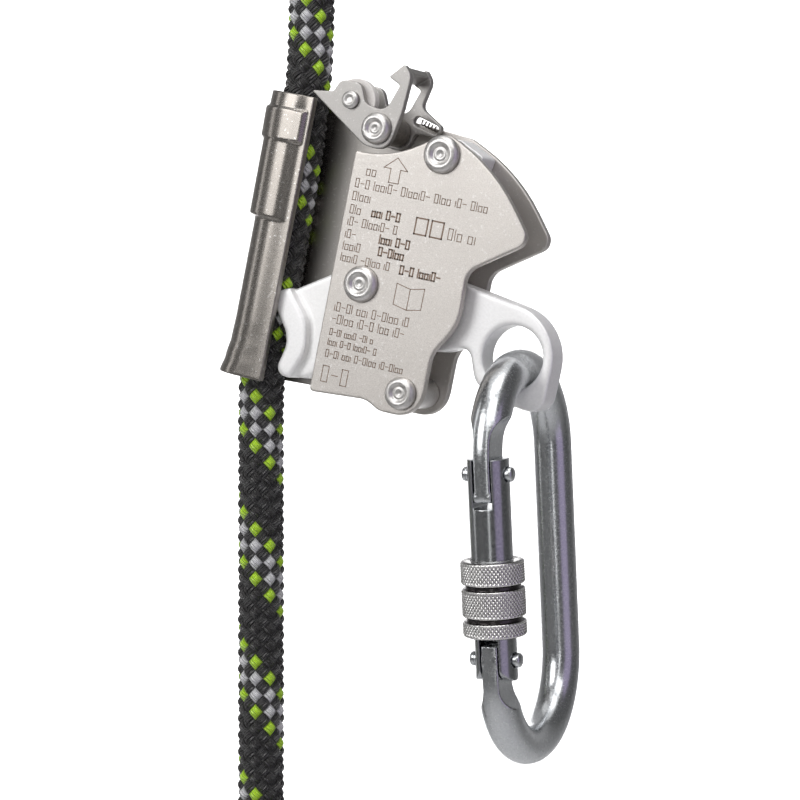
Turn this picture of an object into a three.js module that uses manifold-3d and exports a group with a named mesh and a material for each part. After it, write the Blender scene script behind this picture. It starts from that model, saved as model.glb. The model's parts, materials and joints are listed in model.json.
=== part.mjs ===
// Rope grab for a 12 mm rope: a guided fall arrester with its cam lever, top latch and screw-gate connector.
// Millimetres. +Z is up, +X points to the lever's eye, and -Y is the side of the plain front plate.
// The origin lies on the rope's axis, halfway up the rope trough.
import * as THREE from 'three';
import { mergeVertices } from 'three/addons/utils/BufferGeometryUtils.js';
import Module from 'manifold-3d';

const wasm = await Module();
wasm.setup();

// ---- driving dimensions ----
const ROPE_RADIUS = 6;
const SHEET = 2.2; // thickness of the two side plates
const GAP = 13.4; // clear width between the side plates
const FIT = 0.3; // air left between pieces that touch
const TILT = THREE.MathUtils.degToRad(12.3); // the body leans towards its loaded eye

const INNER = GAP / 2; // inner face of a side plate, from the middle
const OUTER = INNER + SHEET; // outer face of a side plate
const TROUGH_TOP = 37.5;
const TROUGH_BOTTOM = -38.5;
const CHORD_ERROR = 0.04; // how far a rounded corner's facets may cut inside its arc

// rivets and pivots, as [x, z] in the body's own upright frame
const TOP_RIVET = [44, 29.2];
const BOTTOM_RIVET = [45.6, -32.9];
const CAM_AXLE = [28.5, -7.6];
const LATCH_PIVOT = [24.2, 32.6];
const ROLLER_PIN = [15.3, 38.6];
const EYE = [71.9, -17.9];
const EYE_RADIUS = 8.3;

const SHANK = 2.5; // radius of the plain rivets
const AXLE = 3.5; // radius of the cam axle
const BUSH_RADIUS = 5.5;
const WEB_HALF = 4; // half thickness of the lever's web
const JAW_HALF = 6.2; // half thickness of the lever's jaw
const LATCH_SHEET = 2;
const LATCH_STEP = 0.2; // the front cheek lies this far inside the front plate's face

// connector: a steel oval, described about the centre of its top bend
const BAR_RADIUS = 5;
const BEND_RADIUS = 21.8; // bar centre line, half the width between centres
const STRAIGHT = 53.6; // between the centres of the two bends
const GATE_RADIUS = 5.3;
const GATE_TOP = 1.7;
const HINGE_DROP = -49; // height of the gate's hinge pin
const NOSE_DROP = -2.3; // height of the gate's nose pin
const TONGUE_HALF = 2.2;
const SLOT_HALF = 2.5;
const SLEEVE_RADIUS = 8.1;
const SLEEVE_LENGTH = 19;
const SLEEVE_TOP = -23.8;
const HANG_SHIFT = 0.9; // the bar rests a little outward of the eye's lowest point
const CONNECTOR_LEAN = THREE.MathUtils.degToRad(6.3); // its heavier gate side hangs lower

// ---- materials ----
const finish = (color, roughness, metalness) => () =>
  new THREE.MeshStandardMaterial({ color, roughness, metalness });
const satinSteel = finish(0xb4aca6, 0.4, 1);
const darkSteel = finish(0x6e6662, 0.45, 1);
const rivetSteel = finish(0xcfc8c2, 0.3, 1);
const castAluminium = finish(0xe4e5e6, 0.5, 0.4);
const zincSteel = finish(0xb9c2c4, 0.2, 1);
const springSteel = finish(0x8a8a8c, 0.3, 1);
const bronze = finish(0x9a7748, 0.4, 1);
const nylon = finish(0xe9e6df, 0.6, 0);
const ropeSheath = finish(0x1d1c1d, 0.85, 0);
const shrinkTube = finish(0x242424, 0.5, 0);

// ---- solids ----
// A three.js geometry as a solid that can be joined and cut.
function solidOf(geometry) {
  const bare = geometry.clone();
  bare.deleteAttribute('normal');
  bare.deleteAttribute('uv');
  const merged = mergeVertices(bare, 1e-4);
  return new wasm.Manifold(new wasm.Mesh({
    numProp: 3,
    vertProperties: merged.getAttribute('position').array,
    triVerts: new Uint32Array(merged.index.array),
  }));
}

function geometryOf(solid) {
  const mesh = solid.getMesh();
  const geometry = new THREE.BufferGeometry();
  geometry.setAttribute('position', new THREE.BufferAttribute(mesh.vertProperties, 3));
  geometry.setIndex(new THREE.BufferAttribute(mesh.triVerts, 1));
  return geometry;
}

// One named mesh of the assembly, with a material of its own.
function piece(name, solid, makeMaterial) {
  const geometry = geometryOf(solid);
  geometry.computeVertexNormals();
  const mesh = new THREE.Mesh(geometry, makeMaterial());
  mesh.name = name;
  return mesh;
}

// A closed outline through [x, z, radius] corners, each corner rounded to its radius.
function roundedOutline(corners) {
  const points = [];
  corners.forEach(([x, z, radius], index) => {
    const corner = new THREE.Vector2(x, z);
    const [backX, backZ] = corners.at(index - 1);
    const [nextX, nextZ] = corners[(index + 1) % corners.length];
    const back = new THREE.Vector2(backX, backZ).sub(corner).normalize();
    const ahead = new THREE.Vector2(nextX, nextZ).sub(corner).normalize();
    const half = Math.acos(back.dot(ahead)) / 2;
    const middle = back.clone().add(ahead).normalize();
    const centre = corner.clone().addScaledVector(middle, radius / Math.sin(half));
    const start = corner.clone().addScaledVector(back, radius / Math.tan(half)).sub(centre);
    const sweep = (Math.PI - 2 * half) * (back.cross(ahead) > 0 ? -1 : 1);
    const facet = 2 * Math.acos(1 - CHORD_ERROR / Math.max(radius, 1));
    const steps = Math.max(2, Math.ceil(Math.abs(sweep) / facet));
    for (let step = 0; step <= steps; step += 1) {
      const swung = start.clone().rotateAround(new THREE.Vector2(), (sweep * step) / steps);
      points.push(swung.add(centre));
    }
  });
  return new THREE.Shape(points);
}

// A hole to put in a slab's outline, centred on [x, z].
function roundHole([x, z], radius, segments = 28) {
  const hole = new THREE.Path();
  const points = [];
  for (let step = 0; step < segments; step += 1) {
    const angle = (-2 * Math.PI * step) / segments;
    points.push(new THREE.Vector2(x + radius * Math.cos(angle), z + radius * Math.sin(angle)));
  }
  hole.setFromPoints(points);
  return hole;
}

// A flat outline in X and Z, given thickness from fromY to toY.
function slab(shape, fromY, toY) {
  const geometry = new THREE.ExtrudeGeometry(shape, { depth: toY - fromY, bevelEnabled: false });
  geometry.rotateX(Math.PI / 2);
  geometry.translate(0, toY, 0);
  return solidOf(geometry);
}

// A profile of [radius, y] points turned about the Y axis, then moved to [x, z].
function turned(profile, [x, z], segments = 24) {
  const points = profile.map(([radius, y]) => new THREE.Vector2(radius, y));
  const geometry = new THREE.LatheGeometry(points, segments);
  geometry.translate(x, 0, z);
  return solidOf(geometry);
}

const rod = (radius, fromY, toY, centre, segments) =>
  turned([[0, fromY], [radius, fromY], [radius, toY], [0, toY]], centre, segments);

const ring = (inner, outer, fromY, toY, centre, segments) =>
  turned([[inner, fromY], [outer, fromY], [outer, toY], [inner, toY], [inner, fromY]], centre, segments);

function block(sizeX, sizeY, sizeZ, x, y, z) {
  return solidOf(new THREE.BoxGeometry(sizeX, sizeY, sizeZ).translate(x, y, z));
}

// A round bar along a smooth curve through a list of points.
function bar(points, radius, sides, steps) {
  const curve = new THREE.CatmullRomCurve3(points, false, 'centripetal');
  return barAlong(curve, radius, sides, steps);
}

function barAlong(curve, radius, sides, steps) {
  const section = new THREE.Shape();
  const corners = [];
  for (let side = 0; side < sides; side += 1) {
    const angle = (2 * Math.PI * side) / sides;
    corners.push(new THREE.Vector2(radius * Math.cos(angle), radius * Math.sin(angle)));
  }
  section.setFromPoints(corners);
  return solidOf(new THREE.ExtrudeGeometry(section, { steps, extrudePath: curve, bevelEnabled: false }));
}

// ---- side plates ----
// Both plates share this right-hand contour, from the top rivet's corner round to the bottom rivet's.
const SHARED_CONTOUR = [
  [44.1, 34.8, 4],
  [59.1, 28.1, 50],
  [72.6, 11.7, 3.2],
  [56.9, 1.3, 5],
  [57.5, -12.5, 14],
  [51.7, -21.3, 8],
  [51.7, -38.7, 7],
  [40.2, -38.7, 4],
  [36, -36.6, 6],
];
const PLATE_LEFT = 19.4; // straight front edge that the rope passes on its way in
const rivetHoles = () => [
  roundHole(TOP_RIVET, SHANK + FIT),
  roundHole(BOTTOM_RIVET, SHANK + FIT),
  roundHole(CAM_AXLE, AXLE + FIT),
];

function frontPlate() {
  const shape = roundedOutline([
    [PLATE_LEFT, -37.9, 1.2],
    [PLATE_LEFT, 26, 0.8],
    [28.8, 25.2, 30],
    ...SHARED_CONTOUR,
  ].reverse());
  shape.holes.push(...rivetHoles());
  return slab(shape, -OUTER, -INNER);
}

// The trough is the back plate's left edge, curled round the rope to a straight front lip.
const LIP_END = 4.7;
const BACK_LEG = 3;
const TROUGH_ARC_STEPS = 14;
// stations up the trough: [height, centre of the curl, how far the pressing stands out]
const TROUGH_STATIONS = [
  [TROUGH_BOTTOM, -2.5, 0],
  [-34, -1.5, 0],
  [-29, -0.7, 0],
  [-23, -0.4, 0],
  [3.6, -0.4, 0],
  [4.8, -2, 0],
  [24.4, -2.2, 0],
  [25.4, -2.2, 0.9],
  [33, -2.3, 0.9],
  [34, -2.3, 0],
  [TROUGH_TOP, -2.3, 0],
];

// One section of the curled sheet as [x, y] points, outer face first and inner face back.
function troughSection(centre, pressing) {
  const middle = INNER + SHEET / 2;
  const path = [[BACK_LEG, middle, 0, 1, 0]];
  for (let step = 0; step <= TROUGH_ARC_STEPS; step += 1) {
    const angle = Math.PI / 2 + (Math.PI * step) / TROUGH_ARC_STEPS;
    const normal = [Math.cos(angle), Math.sin(angle)];
    const share = Math.sin((Math.PI * step) / TROUGH_ARC_STEPS);
    path.push([centre + middle * normal[0], middle * normal[1], ...normal, share]);
  }
  path.push([LIP_END, -middle, 0, -1, 0]);
  const offset = (side) => ([x, y, nx, ny, share]) => {
    const away = side * (SHEET / 2) + share * pressing;
    return [x + nx * away, y + ny * away];
  };
  return [...path.map(offset(1)), ...path.map(offset(-1)).reverse()];
}

// A closed solid through sections that all have the same number of points.
function loft(sections) {
  const count = sections[0].length;
  const positions = sections.flat(2);
  const triangles = [];
  for (let level = 0; level < sections.length - 1; level += 1) {
    for (let corner = 0; corner < count; corner += 1) {
      const next = (corner + 1) % count;
      const low = level * count;
      const high = low + count;
      triangles.push(low + corner, low + next, high + next);
      triangles.push(low + corner, high + next, high + corner);
    }
  }
  const flat = sections[0].map(([x, y]) => new THREE.Vector2(x, y));
  const last = (sections.length - 1) * count;
  THREE.ShapeUtils.triangulateShape(flat, []).forEach(([a, b, c]) => {
    triangles.push(c, b, a);
    triangles.push(last + a, last + b, last + c);
  });
  return new wasm.Manifold(new wasm.Mesh({
    numProp: 3,
    vertProperties: new Float32Array(positions),
    triVerts: new Uint32Array(triangles),
  }));
}

function backPlate() {
  const trough = loft(TROUGH_STATIONS.map(([height, centre, pressing]) =>
    troughSection(centre, pressing).map(([x, y]) => [x, y, height])));
  const shape = roundedOutline([
    [1, TROUGH_BOTTOM, 0.1],
    [1, TROUGH_TOP, 0.1],
    [12, TROUGH_TOP, 6],
    [34, 35.6, 10],
    ...SHARED_CONTOUR,
  ].reverse());
  shape.holes.push(...rivetHoles(), roundHole(LATCH_PIVOT, SHANK + FIT));
  return slab(shape, INNER, OUTER).add(trough);
}

// ---- rivets, spacers and bushes between the plates ----
const HEAD_HEIGHT = 1.9;
const TOP_HEAD = 4.95; // head radii
const BOTTOM_HEAD = 4.3;
const AXLE_HEAD = 4.8;
const LATCH_HEAD = 4.15;

// A rivet along Y: a dimpled dome with a rolled rim in front, a plain head behind.
function rivet(centre, shank, headRadius, frontY) {
  const backY = OUTER + FIT;
  return turned([
    [0, frontY - HEAD_HEIGHT * 0.47],
    [headRadius * 0.22, frontY - HEAD_HEIGHT * 0.53],
    [headRadius * 0.5, frontY - HEAD_HEIGHT],
    [headRadius * 0.7, frontY - HEAD_HEIGHT],
    [headRadius * 0.95, frontY - HEAD_HEIGHT * 0.58],
    [headRadius, frontY],
    [shank, frontY],
    [shank, backY],
    [headRadius, backY],
    [headRadius * 0.8, backY + HEAD_HEIGHT * 0.68],
    [0, backY + HEAD_HEIGHT * 0.8],
  ], centre, 20);
}

const plateRivet = (centre, shank, headRadius) => rivet(centre, shank, headRadius, -OUTER - FIT);

const latchPivotRivet = () => rivet(LATCH_PIVOT, SHANK, LATCH_HEAD, -OUTER + LATCH_STEP - FIT);

const BETWEEN = INNER - FIT; // half the length of a sleeve that fills the gap
const SPACER_RADIUS = 4;
const spacer = (centre) => ring(SHANK + FIT, SPACER_RADIUS, -BETWEEN, BETWEEN, centre);

// ---- cam lever ----
function camLever() {
  const web = roundedOutline([
    [6.2, -13.6, 1.5],
    [17.2, -6.8, 4],
    [27, 1.4, 9],
    [60.6, -3.1, 6],
    [83.4, -6.4, 14],
    [82.8, -31, 4.5],
    [72, -29.8, 9],
    [63, -26.5, 5],
    [59.4, -17.2, 3],
    [52.5, -20.6, 6],
    [36, -22.5, 10],
    [25, -24.5, 10],
    [16.6, -35.2, 3],
    [9, -36.4, 3],
    [12.4, -26, 10],
  ].reverse());
  const jaw = roundedOutline([
    [2.6, -14.6, 2.2],
    [6.6, -12.7, 0.4],
    [13.6, -20.4, 9],
    [15, -28.5, 9],
    [11.6, -36.3, 1.2],
    [6.6, -35.8, 2.6],
    [9.2, -26.2, 7],
    [3.4, -18.6, 2],
  ].reverse());
  const grooveRadius = ROPE_RADIUS + 0.4;
  const grooveLength = TROUGH_TOP - TROUGH_BOTTOM;
  const groove = solidOf(new THREE.CylinderGeometry(grooveRadius, grooveRadius, grooveLength, 32)
    .rotateX(Math.PI / 2));
  return slab(web, -WEB_HALF, WEB_HALF)
    .add(slab(jaw, -JAW_HALF, JAW_HALF))
    .subtract(groove)
    .subtract(rod(EYE_RADIUS, -OUTER, OUTER, EYE, 40))
    .subtract(rod(BUSH_RADIUS + FIT, -OUTER, OUTER, CAM_AXLE, 32));
}

// A washer keeps the lever's web off the front plate.
const WASHER_RADIUS = 9;
const camWasher = () =>
  ring(BUSH_RADIUS + FIT, WASHER_RADIUS, -BETWEEN, -WEB_HALF - FIT, CAM_AXLE, 28);

// A torsion spring round the cam bush, between the lever's web and the back plate.
const CAM_WIRE = 0.55;
const CAM_SPRING_LEG = 9; // length of the straight end that bears on the lever
function camSpring() {
  const coil = BUSH_RADIUS + FIT + 2 * CAM_WIRE;
  const turns = 1.5;
  const steps = 20;
  const startY = WEB_HALF + FIT + CAM_WIRE;
  const rise = INNER - WEB_HALF - 2 * FIT - 2 * CAM_WIRE;
  const points = [new THREE.Vector3(CAM_AXLE[0] + CAM_SPRING_LEG, startY, CAM_AXLE[1] + coil)];
  for (let step = 0; step <= steps; step += 1) {
    const angle = Math.PI / 2 + (2 * Math.PI * turns * step) / steps;
    points.push(new THREE.Vector3(
      CAM_AXLE[0] + coil * Math.cos(angle),
      startY + (rise * step) / steps,
      CAM_AXLE[1] + coil * Math.sin(angle),
    ));
  }
  points.push(new THREE.Vector3(CAM_AXLE[0] + CAM_SPRING_LEG, startY + rise, CAM_AXLE[1] - coil));
  return bar(points, CAM_WIRE, 6, 48);
}

// ---- gravity pawl on the top spacer ----
const PAWL_FRONT = -2;
function gravityPawl() {
  const shape = roundedOutline([
    [38.2, 31.6, 3.5],
    [44.2, 34.3, 4],
    [52.4, 30.6, 0.8],
    [51.2, 23.6, 2],
    [39.6, 22, 5],
  ].reverse());
  shape.holes.push(roundHole(TOP_RIVET, SPACER_RADIUS + FIT));
  return slab(shape, PAWL_FRONT, BETWEEN);
}

// ---- top latch ----
// Two cheeks cut from one sheet, folded over at the top, with a beak that shuts the trough's mouth.
const LATCH_FRONT = -OUTER + LATCH_STEP; // outer face of the front cheek
const LATCH_BACK = INNER - FIT; // outer face of the rear cheek
const LATCH_INSIDE = [LATCH_FRONT + LATCH_SHEET, LATCH_BACK - LATCH_SHEET];
const BARREL_RADIUS = 3.8; // tube that keeps the two cheeks apart
const ROLLER_SHANK = 1.6;
const ROLLER_HEAD = 2.4;
const ROLLER_RADIUS = 5.9;
const ROLLER_WIDTH = 2.6;
const ROLLER_FRONT = LATCH_INSIDE[0] + FIT;
const ROLLER_BACK = ROLLER_FRONT + ROLLER_WIDTH;
const NOTCH = [[19.6, 38.2, 2.2], [25.6, 37.4, 3.2], [28.3, 44.6, 0.6]];
const HOOK = [[24.7, 46.2, 0.4], [28.6, 50.2, 0.5], [31, 47.4, 3]];

function latchFrame() {
  const front = roundedOutline([
    [3.2, 39.3, 0.3],
    [9.8, 40, 1],
    [11.2, 43.4, 2.6],
    [17.2, 43.5, 3],
    ...NOTCH,
    ...HOOK,
    [30.4, 38, 14],
    [28.3, 27.4, 4.2],
    [21.6, 27.6, 4.6],
  ].reverse());
  const rear = roundedOutline([
    [10.8, 38, 2.5],
    [11.2, 43.4, 2.6],
    [17.2, 43.5, 3],
    ...NOTCH,
    ...HOOK,
    [29.4, 40.2, 2],
    [36.8, 35.9, 1.2],
    [34.6, 33.2, 1],
    [28.8, 33.2, 1.5],
    [27.4, 28, 3.6],
    [20.6, 28.4, 4],
  ].reverse());
  const fold = roundedOutline([
    [25.2, 46.3, 0.2],
    [28.6, 49.7, 0.2],
    [29.9, 48.2, 0.2],
    [26.6, 45.6, 0.2],
  ].reverse());
  const pinHole = rod(SHANK + FIT, -OUTER - 1, OUTER, LATCH_PIVOT, 24);
  const rollerHole = rod(ROLLER_SHANK + FIT, -OUTER - 1, 0, ROLLER_PIN, 20);
  const springSlot = slab(roundedOutline([
    [28.4, 38, 1.1],
    [35.9, 36.1, 1.1],
    [35, 33.8, 1.1],
    [27.6, 35.6, 1.1],
  ].reverse()), 0, OUTER);
  return slab(front, LATCH_FRONT, LATCH_FRONT + LATCH_SHEET)
    .add(slab(rear, LATCH_BACK - LATCH_SHEET, LATCH_BACK))
    .add(slab(fold, LATCH_FRONT + LATCH_SHEET / 2, LATCH_BACK - LATCH_SHEET / 2))
    .subtract(pinHole)
    .subtract(rollerHole)
    .subtract(springSlot);
}

// The roller turns on a short rivet, against the inside of the front cheek.
const latchRoller = () =>
  ring(ROLLER_SHANK + FIT, ROLLER_RADIUS, ROLLER_FRONT, ROLLER_BACK, ROLLER_PIN, 32);

function rollerRivet() {
  const headHeight = 1.1;
  const front = LATCH_FRONT - FIT;
  const back = ROLLER_BACK + FIT;
  return turned([
    [0, front - headHeight * 0.6],
    [ROLLER_HEAD * 0.3, front - headHeight * 0.55],
    [ROLLER_HEAD * 0.6, front - headHeight],
    [ROLLER_HEAD * 0.95, front - headHeight * 0.6],
    [ROLLER_HEAD, front],
    [ROLLER_SHANK, front],
    [ROLLER_SHANK, back],
    [ROLLER_HEAD, back],
    [ROLLER_HEAD * 0.8, back + headHeight * 0.7],
    [0, back + headHeight * 0.8],
  ], ROLLER_PIN, 20);
}

const latchBarrel = () =>
  ring(SHANK + FIT, BARREL_RADIUS, LATCH_INSIDE[0] + FIT, LATCH_INSIDE[1] - FIT, LATCH_PIVOT);

// A small compression spring that lies in the slot of the rear cheek.
function latchSpring() {
  const from = new THREE.Vector3(29.3, LATCH_BACK - LATCH_SHEET / 2, 36.5);
  const along = new THREE.Vector3(6, 0, -1.6).normalize();
  const across = new THREE.Vector3(-along.z, 0, along.x);
  const wire = 0.22;
  const coil = 0.55;
  const turns = 4;
  const perTurn = 8;
  const pitch = 1.4;
  const points = [];
  for (let step = 0; step <= turns * perTurn; step += 1) {
    const angle = (2 * Math.PI * step) / perTurn;
    points.push(from.clone()
      .addScaledVector(along, (pitch * step) / perTurn)
      .addScaledVector(across, coil * Math.cos(angle))
      .add(new THREE.Vector3(0, coil * Math.sin(angle), 0)));
  }
  return bar(points, wire, 5, 44);
}

// ---- rope ----
// The rope runs straight down from above, leans with the trough and hangs straight again below it.
const ROPE_ROUTE = [
  [7.4, 71], [7.3, 62], [7, 52], [6.5, 43], [5.6, 36], [4.1, 23.7], [1.6, 9.9], [-1, -3.9],
  [-3.8, -17.6], [-6.3, -29.2], [-7.6, -38.5], [-7.95, -48], [-7.95, -60], [-7.95, -85],
  [-7.95, -110], [-7.95, -135], [-7.95, -157],
];

function rope() {
  return bar(ROPE_ROUTE.map(([x, z]) => new THREE.Vector3(x, 0, z)), ROPE_RADIUS, 10, 32);
}

// A shrink tube closes each end of the rope, as a cap over its last few millimetres.
function whipping() {
  const bore = ROPE_RADIUS + FIT;
  const outside = bore + 0.8;
  const depth = 4;
  const cap = 7;
  const shoulder = 1.6;
  return turned([
    [0, FIT],
    [bore, FIT],
    [bore, -depth],
    [outside, -depth],
    [outside, cap - shoulder],
    [outside - shoulder, cap],
    [0, cap],
  ], [0, 0], 24);
}

// A whipping over the rope's end at [x, z], pointing up or down.
function whippedEnd(name, [x, z], up) {
  const end = piece(name, whipping(), shrinkTube);
  end.rotation.x = up ? Math.PI / 2 : -Math.PI / 2;
  end.position.set(x, 0, z);
  return end;
}

// ---- connector ----
// The bar is flattened to a tongue at each end, where the gate's forked ends straddle it.
const NOSE_STUB = 4; // bar below the top bend's end
const HINGE_STUB = STRAIGHT + HINGE_DROP + 4;
const TONGUE_TOP = 3;
const TONGUE_END = -9.1;
const TONGUE_DEPTH = 8.6; // across the gate's axis
const PIN_ROOM = 1.95; // radius of the pin holes
const SCALLOP = 7; // radius of the run-out from the round bar to the tongue
const SHOULDER = 4.5; // how far above the gate the nose is already flat

// The bar's centre line, from the nose over the top bend, down the spine and round to the hinge.
class OvalPath extends THREE.Curve {
  getPoint(t, target = new THREE.Vector3()) {
    const bend = Math.PI * BEND_RADIUS;
    const lengths = [NOSE_STUB, bend, STRAIGHT, bend, HINGE_STUB];
    let along = t * lengths.reduce((sum, length) => sum + length, 0);
    let part = 0;
    while (part < lengths.length - 1 && along > lengths[part]) {
      along -= lengths[part];
      part += 1;
    }
    const angle = along / BEND_RADIUS;
    const places = [
      [-BEND_RADIUS, along - NOSE_STUB],
      [-BEND_RADIUS * Math.cos(angle), BEND_RADIUS * Math.sin(angle)],
      [BEND_RADIUS, -along],
      [BEND_RADIUS * Math.cos(angle), -STRAIGHT - BEND_RADIUS * Math.sin(angle)],
      [-BEND_RADIUS, along - STRAIGHT],
    ];
    return target.set(0, ...places[part]);
  }
}

const alongX = (solid) => solid.rotate([0, 0, -90]);

// A cylinder along X at [y, z], centred on the connector's plane.
function crossRod(radius, halfLength, [y, z], segments = 24) {
  return alongX(rod(radius, -halfLength, halfLength, [0, 0], segments)).translate([0, y, z]);
}

const gateAxis = -BEND_RADIUS;
const HINGE = [gateAxis, HINGE_DROP];
const NOSE = [gateAxis, NOSE_DROP];

function connectorBody() {
  const width = 16; // wider than the bar
  const oval = barAlong(new OvalPath(), BAR_RADIUS, 14, 60);
  const noseHeight = TONGUE_TOP - TONGUE_END;
  const nose = block(2 * TONGUE_HALF, TONGUE_DEPTH, noseHeight, 0, gateAxis, TONGUE_TOP - noseHeight / 2);
  const knuckle = crossRod(GATE_RADIUS - 0.4, TONGUE_HALF, HINGE);
  const noseMouth = block(width, width, 2 * PIN_ROOM, 0, gateAxis + width / 2, NOSE_DROP);
  const cheeks = [1, -1].map((side) => {
    const x = side * (TONGUE_HALF + width / 2);
    const top = GATE_TOP + SHOULDER;
    const flat = block(width, width, top - HINGE_DROP, x, gateAxis, (top + HINGE_DROP) / 2);
    const runOut = rod(SCALLOP, gateAxis - width / 2, gateAxis + width / 2,
      [side * (TONGUE_HALF + SCALLOP), top], 32);
    const heel = crossRod(GATE_RADIUS + 0.4, width / 2, HINGE).translate([x, 0, 0]);
    return flat.add(runOut).add(heel);
  });
  const kneeTop = HINGE_DROP + GATE_RADIUS - 0.4;
  const between = block(2 * width, width, TONGUE_END - kneeTop, 0, gateAxis, (TONGUE_END + kneeTop) / 2);
  return oval
    .add(nose)
    .add(knuckle)
    .subtract(cheeks[0])
    .subtract(cheeks[1])
    .subtract(between)
    .subtract(noseMouth)
    .subtract(crossRod(PIN_ROOM, width, NOSE))
    .subtract(crossRod(PIN_ROOM, width, HINGE));
}

const SPRING_BORE = 2.4;
const BORE_TOP = -26;
const UPPER_SLOT_END = -10.6;
const LOWER_SLOT_END = -42.7;

// An upright cylinder on the gate's axis.
function gateRod(radius, low, high, segments) {
  return solidOf(new THREE.CylinderGeometry(radius, radius, high - low, segments)
    .rotateX(Math.PI / 2)
    .translate(0, gateAxis, (low + high) / 2));
}

// The gate is a forked barrel, bored from below for its plunger and spring.
function gateBarrel() {
  const reach = 20; // longer than anything it cuts
  const heelRadius = GATE_RADIUS - 0.1;
  const upper = block(2 * SLOT_HALF, reach, reach, 0, gateAxis, UPPER_SLOT_END + reach / 2);
  const lower = block(2 * SLOT_HALF, reach, reach, 0, gateAxis, LOWER_SLOT_END - reach / 2);
  const heel = block(reach, reach, reach, 0, gateAxis, HINGE_DROP - reach / 2)
    .subtract(crossRod(heelRadius, reach, HINGE, 32));
  return gateRod(GATE_RADIUS, HINGE_DROP - heelRadius, GATE_TOP, 28)
    .subtract(upper)
    .subtract(lower)
    .subtract(heel)
    .subtract(gateRod(SPRING_BORE, LOWER_SLOT_END - 1, BORE_TOP, 16))
    .subtract(crossRod(PIN_ROOM, reach, NOSE))
    .subtract(crossRod(PIN_ROOM, reach, HINGE));
}

// A pin across the gate, with a rounded head at each end.
const PIN_HALF = 7;
const PIN_HEAD = 1.9;
function gatePin(place) {
  const shank = PIN_ROOM - FIT;
  const edge = 0.5;
  const headStart = GATE_RADIUS + FIT;
  return alongX(turned([
    [0, -PIN_HALF],
    [PIN_HEAD * 0.7, -PIN_HALF],
    [PIN_HEAD, -PIN_HALF + edge],
    [PIN_HEAD, -headStart],
    [shank, -headStart],
    [shank, headStart],
    [PIN_HEAD, headStart],
    [PIN_HEAD, PIN_HALF - edge],
    [PIN_HEAD * 0.7, PIN_HALF],
    [0, PIN_HALF],
  ], [0, 0], 16)).translate([0, ...place]);
}

const PLUNGER_TOP = -39;
const gatePlunger = () => gateRod(SPRING_BORE - FIT, HINGE_DROP + GATE_RADIUS, PLUNGER_TOP, 14);

function gateSpring() {
  const wire = 0.35;
  const coil = SPRING_BORE - FIT - wire;
  const low = PLUNGER_TOP + wire + FIT;
  const high = BORE_TOP - wire - FIT;
  const turns = 6;
  const perTurn = 8;
  const points = [];
  for (let step = 0; step <= turns * perTurn; step += 1) {
    const angle = (2 * Math.PI * step) / perTurn;
    const height = low + ((high - low) * step) / (turns * perTurn);
    points.push(new THREE.Vector3(coil * Math.cos(angle), gateAxis + coil * Math.sin(angle), height));
  }
  return bar(points, wire, 5, 48);
}

// Three knurled bands parted by two grooves, as [radius, distance below the sleeve's top].
function lockSleeve() {
  const bore = GATE_RADIUS + FIT;
  const neck = 7;
  const edge = 0.5;
  const step = 0.1; // the grooves' walls lean by this much
  const bands = [[0, 5.6], [7, 13.9], [15.3, SLEEVE_LENGTH]];
  const profile = [[bore, 0]];
  bands.forEach(([from, to], index) => {
    profile.push([SLEEVE_RADIUS - edge, from], [SLEEVE_RADIUS, from + edge]);
    profile.push([SLEEVE_RADIUS, to - edge], [SLEEVE_RADIUS - edge, to]);
    if (index < bands.length - 1) profile.push([neck, to + step], [neck, bands[index + 1][0] - step]);
  });
  profile.push([bore, SLEEVE_LENGTH], [bore, 0]);
  const points = profile.map(([radius, depth]) => new THREE.Vector2(radius, -depth)).reverse();
  return solidOf(new THREE.LatheGeometry(points, 28)
    .rotateX(Math.PI / 2)
    .translate(0, gateAxis, SLEEVE_TOP));
}

// ---- assembly ----
const ropeGrab = new THREE.Group();

const body = new THREE.Group();
body.rotation.y = TILT;
body.add(
  piece('back_plate', backPlate(), satinSteel),
  piece('front_plate', frontPlate(), satinSteel),
  piece('top_rivet', plateRivet(TOP_RIVET, SHANK, TOP_HEAD), rivetSteel),
  piece('top_spacer', spacer(TOP_RIVET), darkSteel),
  piece('bottom_rivet', plateRivet(BOTTOM_RIVET, SHANK, BOTTOM_HEAD), rivetSteel),
  piece('bottom_spacer', spacer(BOTTOM_RIVET), rivetSteel),
  piece('cam_axle', plateRivet(CAM_AXLE, AXLE, AXLE_HEAD), rivetSteel),
  piece('cam_bush', ring(AXLE + FIT, BUSH_RADIUS, -BETWEEN, BETWEEN, CAM_AXLE), bronze),
  piece('cam_washer', camWasher(), nylon),
  piece('cam_spring', camSpring(), springSteel),
  piece('cam_lever', camLever(), castAluminium),
  piece('gravity_pawl', gravityPawl(), castAluminium),
  piece('latch_frame', latchFrame(), satinSteel),
  piece('latch_pivot_rivet', latchPivotRivet(), rivetSteel),
  piece('latch_barrel', latchBarrel(), darkSteel),
  piece('latch_roller', latchRoller(), nylon),
  piece('latch_roller_rivet', rollerRivet(), rivetSteel),
  piece('latch_spring', latchSpring(), springSteel),
);

const anchorLine = new THREE.Group();
anchorLine.add(
  piece('rope', rope(), ropeSheath),
  whippedEnd('rope_top_whipping', ROPE_ROUTE[0], true),
  whippedEnd('rope_bottom_whipping', ROPE_ROUTE.at(-1), false),
);

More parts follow.
